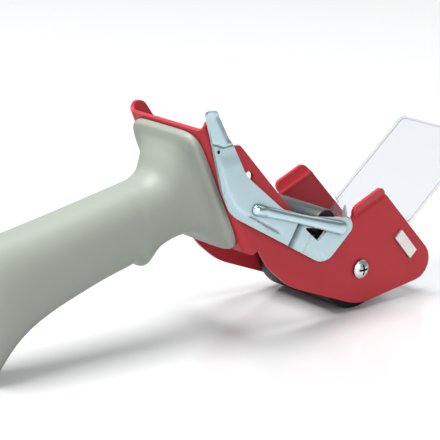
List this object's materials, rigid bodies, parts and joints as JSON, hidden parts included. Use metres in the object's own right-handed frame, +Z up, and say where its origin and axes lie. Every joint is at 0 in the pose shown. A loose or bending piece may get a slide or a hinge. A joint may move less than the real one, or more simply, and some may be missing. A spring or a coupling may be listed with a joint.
{
  "type": "packing tape dispenser",
  "caption": "Hand-held packing tape dispenser: red folded-steel frame with a rubber roller, zinc thumb brake lever, toothed blade, clear wiper flap and grey moulded grip.",
  "frame": {"origin": "middle of the footprint box, on the table the roller and the grip's heel stand on", "axes": "+X towards the roller and flap, +Y away from the brake lever, +Z up"},
  "size_m": [0.3002, 0.0704, 0.1193],
  "materials": {
    "frame_paint": "satin red powder coat",
    "grip_plastic": "fine-grained moulded ABS, grey-green",
    "zinc_fasteners": "zinc plated",
    "zinc_sheet": "bright zinc plate with a bluish passivation",
    "roller_rubber": "black rubber, ground smooth",
    "sleeve_rubber": "black rubber tube",
    "core_plastic": "black moulded plastic",
    "bush_bronze": "sintered bronze",
    "bright_steel": "bright drawn steel",
    "black_steel": "blackened spring steel",
    "spring_steel": "drawn spring wire",
    "blade_steel": "ground hardened steel",
    "clear_plastic": "clear sheet plastic with polished edges"
  },
  "bodies": {
    "frame": {"frame": "frame_paint", "handle": "grip_plastic", "handle_screws": "zinc_fasteners", "handle_washers": "zinc_fasteners", "roller_axle": "bright_steel", "axle_spacers": "zinc_fasteners", "axle_screws": "zinc_fasteners", "lever_pivot": "bright_steel", "pivot_washer": "zinc_fasteners", "pivot_clip": "black_steel", "lever_spring": "spring_steel", "blade_holder": "zinc_sheet", "blade": "blade_steel", "blade_rivets": "zinc_fasteners", "flap": "clear_plastic", "flap_strip": "zinc_sheet", "flap_rivets": "zinc_fasteners"},
    "roller": {"roller_tyre": "roller_rubber", "roller_core": "core_plastic", "roller_bushes": "bush_bronze"},
    "guide": {"guide_roller": "core_plastic"},
    "lever": {"brake_lever": "zinc_sheet", "lever_rib": "zinc_sheet", "brake_bar": "bright_steel", "brake_sleeve": "sleeve_rubber", "bar_clip": "black_steel"}
  },
  "joints": [
    {"name": "roller_spin", "type": "hinge", "parent": "frame", "child": "roller", "pos_m": [0.06552, 0.002, 0.022], "axis": [0, 1, 0], "continuous": true},
    {"name": "guide_spin", "type": "hinge", "parent": "frame", "child": "guide", "pos_m": [0.04902, 0.002, 0.0475], "axis": [0, 1, 0], "continuous": true},
    {"name": "brake_lever_swing", "type": "hinge", "parent": "frame", "child": "lever", "pos_m": [0.04902, 0.002, 0.0475], "axis": [0, -1, 0], "range_deg": [0, 10.5], "stiffness_Nm_per_rad": 0.8, "springref_deg": -20.05, "deforming": ["lever_spring"]}
  ]
}
